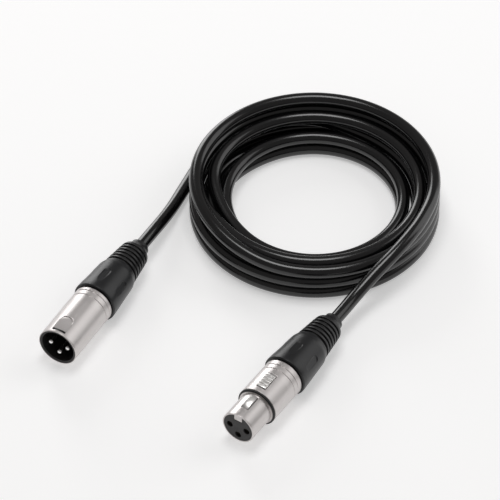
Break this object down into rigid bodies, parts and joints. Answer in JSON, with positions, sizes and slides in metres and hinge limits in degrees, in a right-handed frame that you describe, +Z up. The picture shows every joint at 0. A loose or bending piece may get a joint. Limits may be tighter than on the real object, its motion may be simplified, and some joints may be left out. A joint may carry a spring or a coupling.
{
  "type": "coiled xlr microphone cable",
  "caption": "Balanced microphone cable wound into a coil and lying flat, with a male and a female XLR connector; the female one has a sprung release latch.",
  "frame": {"origin": "on the floor, under the middle of the two connectors' plan box", "axes": "+Z up; +X from the male connector to the female one; -Y the way both mating faces point; the coil lies towards +Y"},
  "size_m": [0.121, 0.2055, 0.024],
  "materials": {
    "shell_nickel": "satin nickel plate over zinc",
    "latch_metal": "satin nickel plated lever",
    "pin_metal": "silver plated",
    "socket_metal": "tinned brass",
    "insert_black": "moulded, matte",
    "ring_black": "matte",
    "boot_black": "satin",
    "relief_black": "satin",
    "jacket_black": "satin, faintly glossy",
    "chuck_white": "moulded",
    "spring_steel": "bare",
    "braid_copper": "bare copper strands",
    "wire_red": "insulation",
    "wire_blue": "insulation"
  },
  "bodies": {
    "root": {"male_shell": "shell_nickel", "male_insert": "insert_black", "male_ground_spring": "spring_steel", "male_pin_1": "pin_metal", "male_pin_2": "pin_metal", "male_pin_3": "pin_metal", "male_chuck": "chuck_white", "male_bushing": "boot_black", "male_strain_relief": "relief_black", "male_jacket_end": "jacket_black", "male_braid_end": "braid_copper", "male_wire_hot": "wire_red", "male_wire_cold": "wire_blue", "male_wire_screen": "braid_copper", "female_shell": "shell_nickel", "female_insert": "insert_black", "female_ground_spring": "spring_steel", "female_ring": "ring_black", "female_latch_pin": "spring_steel", "female_latch_spring": "spring_steel", "female_socket_1": "socket_metal", "female_socket_2": "socket_metal", "female_socket_3": "socket_metal", "female_chuck": "chuck_white", "female_bushing": "boot_black", "female_strain_relief": "relief_black", "female_jacket_end": "jacket_black", "female_braid_end": "braid_copper", "female_wire_hot": "wire_red", "female_wire_cold": "wire_blue", "female_wire_screen": "braid_copper", "cable_coil": "jacket_black", "cable_tail_male": "jacket_black", "cable_tail_female": "jacket_black", "female_key_tab": "shell_nickel"},
    "latch": {"female_latch": "latch_metal"}
  },
  "joints": [
    {"name": "latch_press", "type": "hinge", "parent": "root", "child": "latch", "pos_m": [0.048, -0.00861, 0.01705], "axis": [0.9996, -0.0297, 0], "range_deg": [0, 3.6], "stiffness_Nm_per_rad": 0.12, "springref_deg": -5.73, "deforming": ["female_latch_spring"]}
  ]
}
